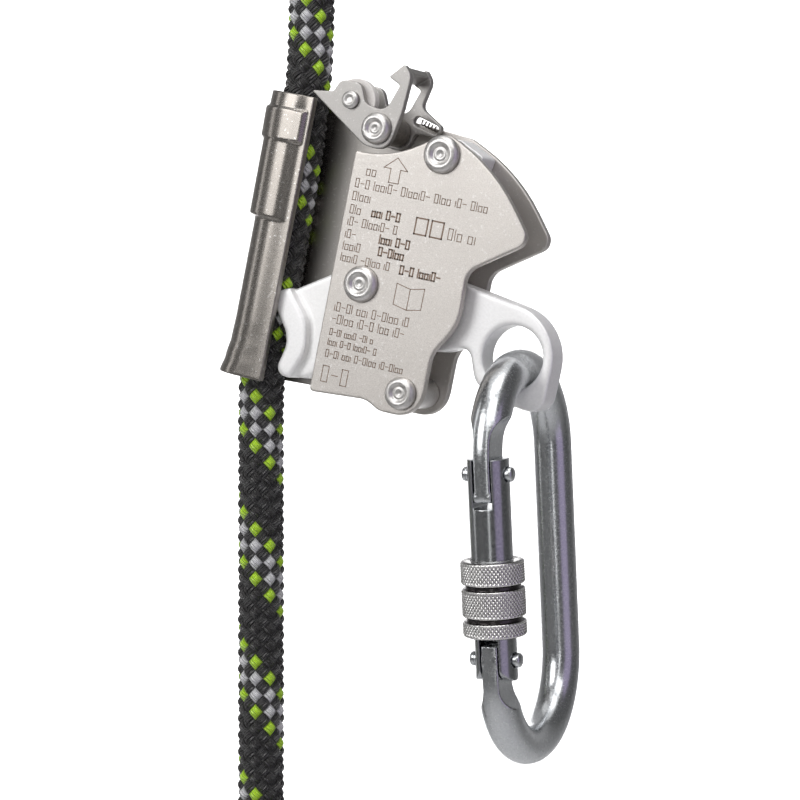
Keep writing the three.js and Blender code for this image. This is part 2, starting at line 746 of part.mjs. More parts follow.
// The connector hangs in the lever's eye, its bar on the eye's lower edge.
const eyeX = EYE[0] * Math.cos(TILT) + EYE[1] * Math.sin(TILT);
const eyeZ = -EYE[0] * Math.sin(TILT) + EYE[1] * Math.cos(TILT);
const connector = new THREE.Group();
connector.position.set(eyeX + HANG_SHIFT, 0, eyeZ - EYE_RADIUS + BAR_RADIUS + 2 * FIT - BEND_RADIUS);
connector.rotation.x = CONNECTOR_LEAN;
connector.add(
  piece('connector_body', connectorBody(), zincSteel),
  piece('gate_hinge_pin', gatePin(HINGE), zincSteel),
  piece('gate_barrel', gateBarrel(), zincSteel),
  piece('gate_nose_pin', gatePin(NOSE), zincSteel),
  piece('gate_spring', gateSpring(), springSteel),
  piece('gate_plunger', gatePlunger(), springSteel),
  piece('lock_sleeve', lockSleeve(), zincSteel),
);

ropeGrab.add(body, anchorLine, connector);

export default ropeGrab;
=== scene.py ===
"""Rope grab on a 12 mm rope: the visual model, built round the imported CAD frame.

Metres, in the part's own frame: +Z is up, +X points to the lever's eye, and -Y is the engraved side.
"""
import json
import math

import bmesh
import bpy
import numpy as np
from mathutils import Matrix, Vector

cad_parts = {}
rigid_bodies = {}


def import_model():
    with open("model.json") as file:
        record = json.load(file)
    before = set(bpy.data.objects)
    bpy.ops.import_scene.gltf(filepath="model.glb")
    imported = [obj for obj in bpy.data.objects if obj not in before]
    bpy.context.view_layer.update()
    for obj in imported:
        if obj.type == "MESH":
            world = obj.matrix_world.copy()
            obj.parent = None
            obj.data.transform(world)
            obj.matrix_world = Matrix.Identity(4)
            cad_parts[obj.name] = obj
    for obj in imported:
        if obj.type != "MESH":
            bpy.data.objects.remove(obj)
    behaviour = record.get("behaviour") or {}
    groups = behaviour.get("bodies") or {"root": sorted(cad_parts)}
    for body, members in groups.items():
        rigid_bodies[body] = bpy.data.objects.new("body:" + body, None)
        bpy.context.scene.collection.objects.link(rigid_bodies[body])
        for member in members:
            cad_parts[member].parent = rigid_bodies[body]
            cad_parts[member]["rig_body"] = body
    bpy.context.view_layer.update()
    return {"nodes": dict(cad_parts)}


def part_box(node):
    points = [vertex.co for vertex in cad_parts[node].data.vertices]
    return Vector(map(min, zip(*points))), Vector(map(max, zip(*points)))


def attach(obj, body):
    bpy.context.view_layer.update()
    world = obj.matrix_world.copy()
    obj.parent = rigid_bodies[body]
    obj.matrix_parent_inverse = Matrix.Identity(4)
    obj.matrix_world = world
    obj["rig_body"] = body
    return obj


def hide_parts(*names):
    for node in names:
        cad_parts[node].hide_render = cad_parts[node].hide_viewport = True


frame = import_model()

# ---- driving dimensions, as in the CAD part ----
ROPE_RADIUS = 0.006
SHEET = 0.0022
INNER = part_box("back_plate")[1].y - SHEET  # inner face of a side plate, from the middle
OUTER = INNER + SHEET
TILT = math.radians(12.3)
BODY = Matrix.Rotation(TILT, 4, "Y")  # from the body's upright frame to the part's frame
TROUGH_TOP = 0.0375
TROUGH_BOTTOM = -0.0385
FIT = 0.0003

# ---- camera, at the photograph's angle ----
VIEW_AZIMUTH = math.radians(25)
VIEW_DISTANCE = 0.700
VIEW_AIM = Vector((0.02721, 0.01269, -0.04357))
VIEW_LENS = 118.1
VIEW_DIRECTION = Vector((-math.sin(VIEW_AZIMUTH), math.cos(VIEW_AZIMUTH), 0))


def add_camera():
    lens = bpy.data.cameras.new("camera")
    lens.lens = VIEW_LENS
    lens.sensor_width = 36
    camera = bpy.data.objects.new("camera", lens)
    camera.location = VIEW_AIM - VIEW_DIRECTION * VIEW_DISTANCE
    camera.rotation_euler = (math.pi / 2, 0, VIEW_AZIMUTH)
    bpy.context.scene.collection.objects.link(camera)
    bpy.context.scene.camera = camera


add_camera()


# ---- material helpers ----
def new_material(name):
    material = bpy.data.materials.new(name)
    material.use_nodes = True
    return material, material.node_tree, material.node_tree.nodes["Principled BSDF"]


def add_node(tree, kind, inputs=None, **settings):
    """A shader node with its settings, and its inputs filled with values or linked to sockets."""
    node = tree.nodes.new(kind)
    for name, value in settings.items():
        setattr(node, name, value)
    for key, value in (inputs or {}).items():
        if isinstance(value, bpy.types.NodeSocket):
            tree.links.new(value, node.inputs[key])
        else:
            node.inputs[key].default_value = value
    return node


def calculate(tree, operation, first, second=0.0, third=0.0):
    node = add_node(tree, "ShaderNodeMath", {0: first, 1: second, 2: third}, operation=operation)
    return node.outputs[0]


def mix_colours(tree, factor, first, second):
    node = add_node(tree, "ShaderNodeMix", {0: factor, 6: first, 7: second}, data_type="RGBA")
    return node.outputs[2]


def mix_values(tree, factor, first, second):
    node = add_node(tree, "ShaderNodeMix", {0: factor, 2: first, 3: second}, data_type="FLOAT")
    return node.outputs[0]


def noise(tree, scale, detail=3.0, stretch=(1, 1, 1), turn=(0, 0, 0)):
    """Noise that is fixed to the piece, as a value from 0 to 1. Its scale is in cycles per metre."""
    place = add_node(tree, "ShaderNodeTexCoord").outputs["Object"]
    placed = add_node(tree, "ShaderNodeMapping", {"Vector": place, "Scale": stretch, "Rotation": turn})
    texture = add_node(
        tree,
        "ShaderNodeTexNoise",
        {"Vector": placed.outputs[0], "Scale": scale, "Detail": detail},
    )
    return texture.outputs["Fac"]


def spread(tree, value, low, high):
    """A 0 to 1 value mapped to low..high, with its middle stretched."""
    node = add_node(
        tree,
        "ShaderNodeMapRange",
        {"Value": value, "From Min": 0.3, "From Max": 0.7, "To Min": low, "To Max": high},
    )
    return node.outputs[0]


def grey(value, warmth=0.0):
    return (value * (1 + warmth), value, value * (1 - warmth), 1)


CLOUD_GRAIN = 60  # cycles per metre
SPECK_GRAIN = 1300
SPECK_START = 0.66  # noise value where a bright speck starts
SPECK_FULL = 0.72
SCRATCH_GRAIN = 900
SCRATCH_STRETCH = (0.05, 1, 1)
SCRATCH_TURN = (0, math.radians(38), 0)


def grained(name, light, dark, roughness, grain, relief, metallic=1.0, scratches=0.0, specks=0.0):
    """A material whose colour, roughness and surface wander with fine grain, scratches and bright specks."""
    material, tree, shader = new_material(name)
    speckle = noise(tree, grain, 4)
    clouds = noise(tree, CLOUD_GRAIN, 2)
    tone = spread(tree, speckle, 0.0, 1.0)
    base = mix_colours(tree, tone, dark, light)
    clouded = mix_colours(tree, spread(tree, clouds, 0.0, 0.25), base, dark)
    if specks:
        spots = add_node(
            tree,
            "ShaderNodeMapRange",
            {
                "Value": noise(tree, SPECK_GRAIN, 1),
                "From Min": SPECK_START,
                "From Max": SPECK_FULL,
                "To Min": 0.0,
                "To Max": specks,
            },
        )
        clouded = mix_colours(tree, spots.outputs[0], clouded, (1, 1, 1, 1))
    tree.links.new(clouded, shader.inputs["Base Color"])
    shader.inputs["Metallic"].default_value = metallic
    rough = spread(tree, speckle, roughness * 0.85, roughness * 1.2)
    tree.links.new(rough, shader.inputs["Roughness"])
    height = speckle
    if scratches:
        lines = noise(tree, SCRATCH_GRAIN, 2, SCRATCH_STRETCH, SCRATCH_TURN)
        height = calculate(tree, "MULTIPLY_ADD", lines, scratches, speckle)
    bump = add_node(
        tree,
        "ShaderNodeBump",
        {"Height": height, "Distance": relief, "Strength": 1.0},
    )
    tree.links.new(bump.outputs[0], shader.inputs["Normal"])
    return material


# ---- materials ----
SHEET_GRAIN = 4200  # cycles per metre, on every piece of rolled sheet
SHEET_RELIEF = 0.000025
# light and dark tone, roughness, grain (cycles per metre), relief (metres), metallic, scratches, specks
FINISHES = {
    "plate_steel": (grey(0.66, 0.05), grey(0.48, 0.06), 0.45, SHEET_GRAIN, SHEET_RELIEF, 1, 0.3, 0.22),
    # the channel's tones are painted dark: painted shade for the dark surroundings its curl reflects
    "shaded_channel_steel": (grey(0.33, 0.075), grey(0.25, 0.085), 0.26, SHEET_GRAIN, 0.000006, 0.97, 0.4, 0.3),
    "latch_steel": (grey(0.46, 0.03), grey(0.36, 0.04), 0.46, SHEET_GRAIN, SHEET_RELIEF, 1, 0.2, 0.15),
    "rivet_steel": (grey(0.72, 0.02), grey(0.58, 0.03), 0.38, 1800, 0.000015),
    "dark_steel": (grey(0.30, 0.08), grey(0.16, 0.1), 0.38, 1500, 0.00002),
    "cast_aluminium": (grey(0.97, 0.005), grey(0.88, 0.005), 0.42, 1600, 0.00003, 0.4),
    "zinc_steel": (grey(0.66, -0.02), grey(0.54, -0.03), 0.24, 1600, 0.000006, 1, 0, 0.15),
    # the connector's zinc with its tones painted darker for the gate barrel: painted shade
    "shaded_gate_zinc": (grey(0.50, -0.02), grey(0.40, -0.03), 0.22, 1600, 0.000006, 1, 0, 0.15),
    "knurled_zinc": (grey(0.86, 0.01), grey(0.76, 0.02), 0.26, 1500, 0.00001),
    "spring_steel": (grey(0.46), grey(0.30), 0.32, 1500, 0.00001),
    "bronze": ((0.55, 0.36, 0.17, 1), (0.40, 0.25, 0.11, 1), 0.36, 1500, 0.00001),
    "roller_nylon": (grey(0.80, 0.03), grey(0.70, 0.05), 0.45, 1200, 0.00002, 0),
    "shrink_tube": (grey(0.030), grey(0.018), 0.42, 1200, 0.00003, 0),
    "engraving_brown": ((0.30, 0.22, 0.165, 1), (0.22, 0.155, 0.115, 1), 0.6, 3000, 0.00001, 0.2),
    "studio_paper": (grey(0.93), grey(0.91), 0.9, 12, 0.0, 0),
}


def finish(name):
    return grained(name, *FINISHES[name])


FLAT_START = 0.004  # x in the body's frame where the back plate's flat starts
FLAT_FULL = 0.008
FLAT_ROUGHNESS = 0.52
FLAT_PALER = 0.6


def shaded_channel_steel():
    """Glossy on the curled channel, whose tones are painted darker as painted shade for the dark surroundings
    it reflects, and duller and paler on the flat plate beside it.
    """
    material = finish("shaded_channel_steel")
    tree = material.node_tree
    shader = tree.nodes["Principled BSDF"]
    place = add_node(tree, "ShaderNodeTexCoord").outputs["Object"]
    upright = add_node(tree, "ShaderNodeMapping", {"Vector": place, "Rotation": (0, -TILT, 0)}).outputs[0]
    along = add_node(tree, "ShaderNodeSeparateXYZ", {0: upright}).outputs[0]
    flat = add_node(
        tree,
        "ShaderNodeMapRange",
        {"Value": along, "From Min": FLAT_START, "From Max": FLAT_FULL},
    ).outputs[0]
    glossy = shader.inputs["Roughness"].links[0].from_socket
    tree.links.new(mix_values(tree, flat, glossy, FLAT_ROUGHNESS), shader.inputs["Roughness"])
    curled = shader.inputs["Base Color"].links[0].from_socket
    paler = mix_colours(tree, calculate(tree, "MULTIPLY", flat, FLAT_PALER), curled, grey(0.72, 0.04))
    tree.links.new(paler, shader.inputs["Base Color"])
    return material


HOLLOW_DARK_START = 0.14  # depth in the knurl where the darkening starts, from 0 to 1
HOLLOW_DARK_FULL = 0.50
HOLLOW_DARK_COVER = 0.94


def knurled_zinc():
    """Zinc that is darker in its hollows. The hollows layer holds each point's depth, from 0 to 1."""
    material = finish("knurled_zinc")
    tree = material.node_tree
    shader = tree.nodes["Principled BSDF"]
    place = add_node(tree, "ShaderNodeUVMap", uv_map=HOLLOW_LAYER).outputs[0]
    depth = add_node(tree, "ShaderNodeSeparateXYZ", {0: place}).outputs[0]
    hollow_dark = add_node(
        tree,
        "ShaderNodeMapRange",
        {"Value": depth, "From Min": HOLLOW_DARK_START, "From Max": HOLLOW_DARK_FULL, "To Min": 0.0, "To Max": HOLLOW_DARK_COVER},
    )
    plain_colour = shader.inputs["Base Color"].links[0].from_socket
    # the colour is darkened towards the bottom of the knurl's hollows, by their depth
    hollow_darkened = mix_colours(tree, hollow_dark.outputs[0], plain_colour, (0.035, 0.028, 0.03, 1))
    tree.links.new(hollow_darkened, shader.inputs["Base Color"])
    return material


STRANDS = 8  # braid strands that run each way round the rope
WEAVE_LAYER = "weave"
CREVICE_SHADE_START = 0.38  # place across a strand, from its middle, where the painted shade between cells starts
CREVICE_SHADE_FULL = 0.5
CREVICE_SHADE_COVER = 0.8
FIBRES = 4  # ridges of yarn across a strand
FIBRE_NOISE = 1.6
FIBRE_RELIEF = 0.00028
FIBRE_GRAIN = 1800
FUZZ_GRAIN = 2500
FUZZ_COVER = 0.12


def braided_sheath():
    """Black sheath with two fluorescent and two grey strands side by side in one direction.

    The weave layer holds each point's place across the strands of both directions, in strands.
    """
    material, tree, shader = new_material("braided_sheath")
    weave = add_node(tree, "ShaderNodeUVMap", uv_map=WEAVE_LAYER).outputs[0]
    parts = add_node(tree, "ShaderNodeSeparateXYZ", {0: weave})
    right, left = parts.outputs[0], parts.outputs[1]
    right_strand = calculate(tree, "ROUND", right)
    left_strand = calculate(tree, "ROUND", left)
    total = calculate(tree, "ADD", right_strand, left_strand)
    left_on_top = calculate(tree, "GREATER_THAN", calculate(tree, "FLOORED_MODULO", total, 2.0), 0.5)
    number = calculate(tree, "FLOORED_MODULO", right_strand, float(STRANDS))
    place = calculate(tree, "DIVIDE", calculate(tree, "ADD", number, 0.5), float(STRANDS))
    ramp = add_node(tree, "ShaderNodeValToRGB", {0: place})
    ramp.color_ramp.interpolation = "CONSTANT"
    black = (0.010, 0.008, 0.008, 1)
    silver = (0.86, 0.86, 0.88, 1)
    lime = (0.60, 1.0, 0.02, 1)
    colours = [(0, silver), (1, lime), (2, black), (6, lime), (7, silver)]
    for _ in range(len(colours) - 2):
        ramp.color_ramp.elements.new(0.5)
    for element, (index, colour) in zip(ramp.color_ramp.elements, colours):
        element.position = index / STRANDS
        element.color = colour
    strand_colour = mix_colours(tree, left_on_top, ramp.outputs[0], black)
    across_right = calculate(tree, "SUBTRACT", right, right_strand)
    across_left = calculate(tree, "SUBTRACT", left, left_strand)
    widest = calculate(
        tree,
        "MAXIMUM",
        calculate(tree, "ABSOLUTE", across_right),
        calculate(tree, "ABSOLUTE", across_left),
    )
    # painted shade: each strand darkens towards its edges, where shade falls between the pillowed cells
    crevice_shade = add_node(
        tree,
        "ShaderNodeMapRange",
        {"Value": widest, "From Min": CREVICE_SHADE_START, "From Max": CREVICE_SHADE_FULL, "To Min": 0.0, "To Max": CREVICE_SHADE_COVER},
    ).outputs[0]
    shaded = mix_colours(tree, crevice_shade, strand_colour, (0.006, 0.005, 0.005, 1))
    fuzz = spread(tree, noise(tree, FUZZ_GRAIN, 3), 0.0, FUZZ_COVER)
    tree.links.new(mix_colours(tree, fuzz, shaded, grey(0.01)), shader.inputs["Base Color"])
    shader.inputs["Roughness"].default_value = 0.30
    shader.inputs["Specular IOR Level"].default_value = 1.0
    shader.inputs["Sheen Weight"].default_value = 0.1
    yarn = mix_values(tree, left_on_top, across_right, across_left)
    fibres = calculate(tree, "SINE", calculate(tree, "MULTIPLY", yarn, 2 * math.pi * FIBRES))
    rough_fibres = calculate(tree, "MULTIPLY_ADD", noise(tree, FIBRE_GRAIN, 3), FIBRE_NOISE, fibres)
    bump = add_node(
        tree,
        "ShaderNodeBump",
        {"Height": rough_fibres, "Distance": FIBRE_RELIEF, "Strength": 1.0},
    )
    tree.links.new(bump.outputs[0], shader.inputs["Normal"])
    return material


# ---- mesh helpers ----
def new_piece(name, mesh, material, place=None):
    piece = bpy.data.objects.new(name, mesh)
    piece.data.materials.clear()
    piece.data.materials.append(material)
    if place is not None:
        piece.matrix_world = place
    bpy.context.scene.collection.objects.link(piece)
    return piece


def mesh_of(name, points, faces, smooth=True):
    mesh = bpy.data.meshes.new(name)
    mesh.from_pydata([tuple(point) for point in points], [], faces)
    mesh.validate()
    mesh.update()
    mesh.polygons.foreach_set("use_smooth", [smooth] * len(mesh.polygons))
    return mesh


def even_normals(piece):
    """Large faces keep their own flat shading, and the narrow ones between them are blended."""
    modifier = piece.modifiers.new("normals", "WEIGHTED_NORMAL")
    modifier.weight = 100
    modifier.keep_sharp = False


def settle(piece):
    """Turns the piece's modifiers into plain mesh."""
    bpy.context.view_layer.update()
    graph = bpy.context.evaluated_depsgraph_get()
    mesh = bpy.data.meshes.new_from_object(piece.evaluated_get(graph))
    piece.modifiers.clear()
    piece.data = mesh


SHARP = math.radians(30)  # an edge that turns more than this is rounded
FLAT = math.radians(1)  # an edge that turns less than this is dissolved
WELD = 2e-6  # points nearer than this become one
MACHINED_EDGE = 0.0003
TUBE_EDGE = 0.0004
WIRE_EDGE = 0.00005


def round_edges(piece, radius, segments):
    """Joins flat facets, then rounds every edge that turns sharply."""
    mesh = bmesh.new()
    mesh.from_mesh(piece.data)
    bmesh.ops.remove_doubles(mesh, verts=mesh.verts, dist=WELD)
    bmesh.ops.dissolve_limit(mesh, angle_limit=FLAT, verts=mesh.verts, edges=mesh.edges)
    sharp = [
        edge
        for edge in mesh.edges
        if edge.is_manifold and edge.calc_face_angle(0) > SHARP
    ]
    bmesh.ops.bevel(
        mesh,
        geom=sharp,
        offset=radius,
        offset_type="OFFSET",
        segments=segments,
        profile=0.5,
        affect="EDGES",
        clamp_overlap=False,
    )
    mesh.to_mesh(piece.data)
    mesh.free()
    piece.data.polygons.foreach_set("use_smooth", [True] * len(piece.data.polygons))
    even_normals(piece)


def copy_of(node, material):
    """A new piece with a CAD node's shape, that rides on the node's body in its place."""
    source = bmesh.new()
    source.from_mesh(frame["nodes"][node].data)
    mesh = bpy.data.meshes.new(node + "_look")
    source.to_mesh(mesh)
    source.free()
    return stand_in(new_piece(mesh.name, mesh, material), node)


def fix_place(piece):
    """Moves the piece's placement into its mesh, so that its box follows the part's own axes."""
    piece.data.transform(piece.matrix_world)
    piece.matrix_world = Matrix.Identity(4)


def stand_in(piece, node):
    """Puts the piece in a CAD node's stead, on its body."""
    fix_place(piece)
    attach(piece, frame["nodes"][node]["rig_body"])
    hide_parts(node)
    return piece


def refined(node, material, radius=MACHINED_EDGE, segments=3):
    """A CAD node's shape with its edges rounded to a radius."""
    piece = copy_of(node, material)
    round_edges(piece, radius, segments)
    return piece


SHEET_VOXEL = 0.00022  # remesh size of the side plates


def soften(piece, voxel, passes, keep=1.0):
    """Remeshes the piece finely and smooths it, so that all its edges are a little rounded."""
    remesh = piece.modifiers.new("remesh", "REMESH")
    remesh.mode = "VOXEL"
    remesh.voxel_size = voxel
    remesh.use_smooth_shade = True
    smooth = piece.modifiers.new("smooth", "SMOOTH")
    smooth.factor = 0.5
    smooth.iterations = passes
    if keep < 1:
        thin = piece.modifiers.new("thin", "DECIMATE")
        thin.ratio = keep
    settle(piece)


def softened(node, material, voxel, passes, keep=1.0):
    """A CAD node's shape with soft edges, remeshed in the body's upright frame."""
    piece = copy_of(node, material)
    piece.data.transform(BODY.inverted())
    piece.matrix_world = BODY
    soften(piece, voxel, passes, keep)
    fix_place(piece)
    return piece


def grid_faces(rows, columns, closed=True):
    """Faces of a grid of points, row after row, whose columns may close into a loop."""
    faces = []
    for row in range(rows - 1):
        for column in range(columns if closed else columns - 1):
            following = (column + 1) % columns
            low = row * columns
            high = low + columns
            faces.append((low + column, low + following, high + following, high + column))
    return faces


def loft(name, sections):
    """A closed skin through sections with equal counts of points, capped at both ends."""
    columns = len(sections[0])
    points = [point for section in sections for point in section]
    faces = grid_faces(len(sections), columns)
    last = (len(sections) - 1) * columns
    faces.append(tuple(range(columns - 1, -1, -1)))
    faces.append(tuple(range(last, last + columns)))
    return mesh_of(name, points, faces)


CORNER_PASSES = 2
CORNER_SHARE = 0.25  # share of each stretch that a pass cuts off at either end


def rounded_profile(profile):
    """The profile with its corners cut, pass after pass. Its two ends stay where they are."""
    points = [Vector(point) for point in profile]
    for _ in range(CORNER_PASSES):
        cut = [points[0]]
        for here, following in zip(points, points[1:]):
            cut.append(here.lerp(following, CORNER_SHARE))
            cut.append(here.lerp(following, 1 - CORNER_SHARE))
        cut.append(points[-1])
        points = cut
    return points


def turned(name, profile, segments=64):
    """A profile of (radius, height) points turned about Z, from one point on the axis to another."""
    rings = []
    for radius, height in profile:
        ring = []
        for step in range(segments):
            angle = 2 * math.pi * step / segments
            ring.append((radius * math.cos(angle), radius * math.sin(angle), height))
        rings.append(ring)
    mesh = loft(name, rings)
    tidy = bmesh.new()
    tidy.from_mesh(mesh)
    bmesh.ops.remove_doubles(tidy, verts=tidy.verts, dist=1e-7)
    bmesh.ops.recalc_face_normals(tidy, faces=tidy.faces)
    tidy.to_mesh(mesh)
    tidy.free()
    mesh.polygons.foreach_set("use_smooth", [True] * len(mesh.polygons))
    return mesh


def box_mesh(name, size, centre):
    tool = bmesh.new()
    bmesh.ops.create_cube(tool, size=1, matrix=Matrix.Translation(centre) @ Matrix.Diagonal((*size, 1)))
    mesh = bpy.data.meshes.new(name)
    tool.to_mesh(mesh)
    tool.free()
    return mesh


def cylinder_mesh(name, radius, low, high, place=None, segments=64):
    """A closed cylinder from low to high along Z, moved by a matrix."""
    tool = bmesh.new()
    middle = Matrix.Translation((0, 0, (low + high) / 2))
    bmesh.ops.create_cone(
        tool,
        cap_ends=True,
        segments=segments,
        radius1=radius,
        radius2=radius,
        depth=high - low,
        matrix=(place or Matrix.Identity(4)) @ middle,
    )
    mesh = bpy.data.meshes.new(name)
    tool.to_mesh(mesh)
    tool.free()
    return mesh


def combine(piece, meshes, operation):
    """Joins meshes to the piece or cuts them out of it. The meshes are in the piece's own frame."""
    tools = []
    for mesh in meshes:
        tool = bpy.data.objects.new(mesh.name, mesh)
        tool.matrix_world = piece.matrix_world
        bpy.context.scene.collection.objects.link(tool)
        modifier = piece.modifiers.new(operation, "BOOLEAN")
        modifier.operation = operation
        modifier.solver = "EXACT"
        modifier.object = tool
        tools.append(tool)
    settle(piece)
    for tool in tools:
        bpy.data.objects.remove(tool)


def spline(points, spacing):
    """Evenly spaced points on a smooth curve through the given ones."""
    knots = np.array(points, float)
    chord = np.linalg.norm(np.diff(knots, axis=0), axis=1)
    along = np.concatenate([[0], np.cumsum(chord)])
    slopes = np.gradient(knots, along, axis=0)
    count = max(2, int(round(along[-1] / spacing)) + 1)
    places = np.linspace(0, along[-1], count)
    index = np.clip(np.searchsorted(along, places, side="right") - 1, 0, len(chord) - 1)
    length = chord[index][:, None]
    t = ((places - along[index]) / chord[index])[:, None]
    start, end = knots[index], knots[index + 1]
    return (
        (2 * t**3 - 3 * t**2 + 1) * start
        + (t**3 - 2 * t**2 + t) * length * slopes[index]
        + (-2 * t**3 + 3 * t**2) * end
        + (t**3 - t**2) * length * slopes[index + 1]
    )


ANY_SIDE = (0.31, 0.87, 0.38)  # a direction that no wire starts along


def wire(name, points, radius, sides=10):
    """A round wire along a list of points, with flat ends."""
    path = np.array(points, float)
    tangents = np.gradient(path, axis=0)
    tangents /= np.linalg.norm(tangents, axis=1)[:, None]
    side = np.cross(tangents[0], ANY_SIDE)
    sections = []
    for point, tangent in zip(path, tangents):
        side = side - tangent * side.dot(tangent)
        side /= np.linalg.norm(side)
        other = np.cross(tangent, side)
        ring = []
        for step in range(sides):
            angle = 2 * math.pi * step / sides
            ring.append(point + radius * (math.cos(angle) * side + math.sin(angle) * other))
        sections.append(ring)
    return loft(name, sections)


# ---- rope ----
ROPE_ROUTE = [
    (0.0074, 0.071), (0.0073, 0.062), (0.007, 0.052), (0.0065, 0.043), (0.0056, 0.036),
    (0.0041, 0.0237), (0.0016, 0.0099), (-0.001, -0.0039), (-0.0038, -0.0176), (-0.0063, -0.0292),
    (-0.0076, -0.0385), (-0.00795, -0.048), (-0.00795, -0.06), (-0.00795, -0.085),
    (-0.00795, -0.11), (-0.00795, -0.135), (-0.00795, -0.157),
]
WEAVE_ROW = 0.00442  # height of one row of cells
FIRST_COLUMN = math.radians(-14)  # a column of cells, seen from the camera
LIME_ROW = 0.0658  # height above the rope's lower end of a lime cell in that column
CELL_RELIEF = 0.0012
CELL_FULLNESS = 0.7  # a power, less for a flatter pillow
CELL_STEPS = 14  # mesh steps across a cell
CELL_CROWN = 0.0003  # how far the cells stand proud of the rope's nominal radius


def rope():
    """The braided rope as one skin. Each cell of the weave is a pillow on it."""
    around = STRANDS * CELL_STEPS
    path = spline([(x, 0, z) for x, z in ROPE_ROUTE], WEAVE_ROW / CELL_STEPS)
    tangents = np.gradient(path, axis=0)
    tangents /= np.linalg.norm(tangents, axis=1)[:, None]
    away = np.array([0.0, -1.0, 0.0])
    angles = 2 * math.pi * np.arange(around + 1) / around
    lengths = np.concatenate([[0], np.cumsum(np.linalg.norm(np.diff(path, axis=0), axis=1))])
    rows = 1 + (LIME_ROW - (lengths[-1] - lengths)) / WEAVE_ROW
    columns = (angles - VIEW_AZIMUTH - FIRST_COLUMN) * STRANDS / (2 * math.pi)
    right = rows[:, None] - columns[None, :]
    left = rows[:, None] + columns[None, :]
    pillow_right = np.cos(math.pi * (right - np.round(right)))
    pillow_left = np.cos(math.pi * (left - np.round(left)))
    relief = (np.clip(pillow_right, 0, 1) * np.clip(pillow_left, 0, 1)) ** CELL_FULLNESS
    radius = ROPE_RADIUS + CELL_CROWN - CELL_RELIEF * (1 - relief)
    across = np.cross(away, tangents)
    across /= np.linalg.norm(across, axis=1)[:, None]
    outward = np.cross(tangents, across)
    points = (
        path[:, None, :]
        + radius[:, :, None] * np.cos(angles)[None, :, None] * outward[:, None, :]
        + radius[:, :, None] * np.sin(angles)[None, :, None] * across[:, None, :]
    )
    sections = [list(ring[:-1]) for ring in points]
    mesh = loft("rope_look", sections)
    layer = mesh.uv_layers.new(name=WEAVE_LAYER)
    rings = len(sections)
    for polygon in mesh.polygons:
        if polygon.index >= (rings - 1) * around:
            continue
        ring, column = divmod(polygon.index, around)
        corners = ((ring, column), (ring, column + 1), (ring + 1, column + 1), (ring + 1, column))
        for loop, (row, place) in zip(polygon.loop_indices, corners):
            layer.data[loop].uv = (right[row, place], left[row, place])
    piece = stand_in(new_piece("rope_look", mesh, braided_sheath()), "rope")
    return piece, path, lengths[-1]


rope_piece, rope_path, rope_length = rope()
tube_material = finish("shrink_tube")
whippings = [
    refined("rope_top_whipping", tube_material, TUBE_EDGE),
    refined("rope_bottom_whipping", tube_material, TUBE_EDGE),
]

# ---- side plates ----
BACK_LEG = 0.003
LIP_END = 0.0047
EDGE_ROUND = 0.0003
EDGE_ANGLES = [math.radians(30 * step) for step in range(4)]
# stations up the channel: (height, centre of the curl, pressing all round, crown on the front)
TROUGH_STATIONS = [
    (TROUGH_BOTTOM, -0.0025, 0, 0.0001),
    (-0.034, -0.0015, 0, 0.0002),
    (-0.029, -0.0007, 0, 0.0003),
    (-0.023, -0.0004, 0, 0.0004),
    (0.0038, -0.0004, 0, 0.0004),
    (0.0046, -0.0021, 0, 0.0010),
    (0.0246, -0.0022, 0, 0.0010),
    (0.0253, -0.0022, 0.0011, 0.0002),
    (0.0330, -0.0023, 0.0011, 0.0002),
    (0.0337, -0.0023, 0, 0.0008),
    (TROUGH_TOP, -0.0023, 0, 0.0006),
]
LIP_STRIP = 0.0007  # plain strip along the lip, outside the pressings
PRESSING_FLANK = 0.0010
CROWN_FLANK = 0.0046


def station_at(height):
    """The channel's section values at a height, eased from one station to the next."""
    for low, high in zip(TROUGH_STATIONS, TROUGH_STATIONS[1:]):
        if height <= high[0]:
            share = eased((height - low[0]) / (high[0] - low[0]))
            return [a + (b - a) * share for a, b in zip(low[1:], high[1:])]
    return TROUGH_STATIONS[-1][1:]


def eased(share):
    share = min(1, max(0, share))
    return share * share * (3 - 2 * share)


def trough_section(height, thinner):
    """One closed section of the curled sheet, at a height in the body's frame."""
    centre, pressing, crown = station_at(height)
    middle = INNER + SHEET / 2
    path = [(Vector((x, middle)), Vector((0, 1)), 0) for x in (BACK_LEG, BACK_LEG / 2, 0.0)]
    steps = 44
    flat = LIP_END - EDGE_ROUND - centre
    for step in range(steps + 1):
        angle = math.pi / 2 + math.pi * step / steps
        normal = Vector((math.cos(angle), math.sin(angle)))
        to_lip = flat + middle * math.pi * (1 - step / steps)
        wrap = min(1, 2 * math.sin(math.pi * min(step / steps, 0.5)))
        swell = pressing * eased((to_lip - LIP_STRIP) / PRESSING_FLANK) * wrap
        swell += crown * eased((to_lip - LIP_STRIP) / CROWN_FLANK) * eased(2 - to_lip / (2 * CROWN_FLANK))
        path.append((Vector((centre, 0)) + normal * middle, normal, swell))
    flat_steps = 16
    for step in range(1, flat_steps + 1):
        to_lip = flat * (1 - step / flat_steps)
        swell = pressing * eased((to_lip - LIP_STRIP) / PRESSING_FLANK)
        swell += crown * eased((to_lip - LIP_STRIP) / CROWN_FLANK)
        place = Vector((LIP_END - EDGE_ROUND - to_lip, -middle))
        path.append((place, Vector((0, -1)), swell))
    half = SHEET / 2 - thinner
    outer = [point + normal * (half + swell) for point, normal, swell in path]
    inner = [point - normal * (half - swell) for point, normal, swell in path]
    lip = []
    for side in (-1, 1):
        for angle in EDGE_ANGLES:
            if side > 0:
                angle = math.pi / 2 - angle
            lip.append(Vector((
                LIP_END - EDGE_ROUND * (1 - math.sin(angle)) - thinner,
                -middle + side * (half - EDGE_ROUND * (1 - math.cos(angle))),
            )))
    loop = outer + lip + inner[::-1]
    return [(point.x, point.y, height) for point in loop]


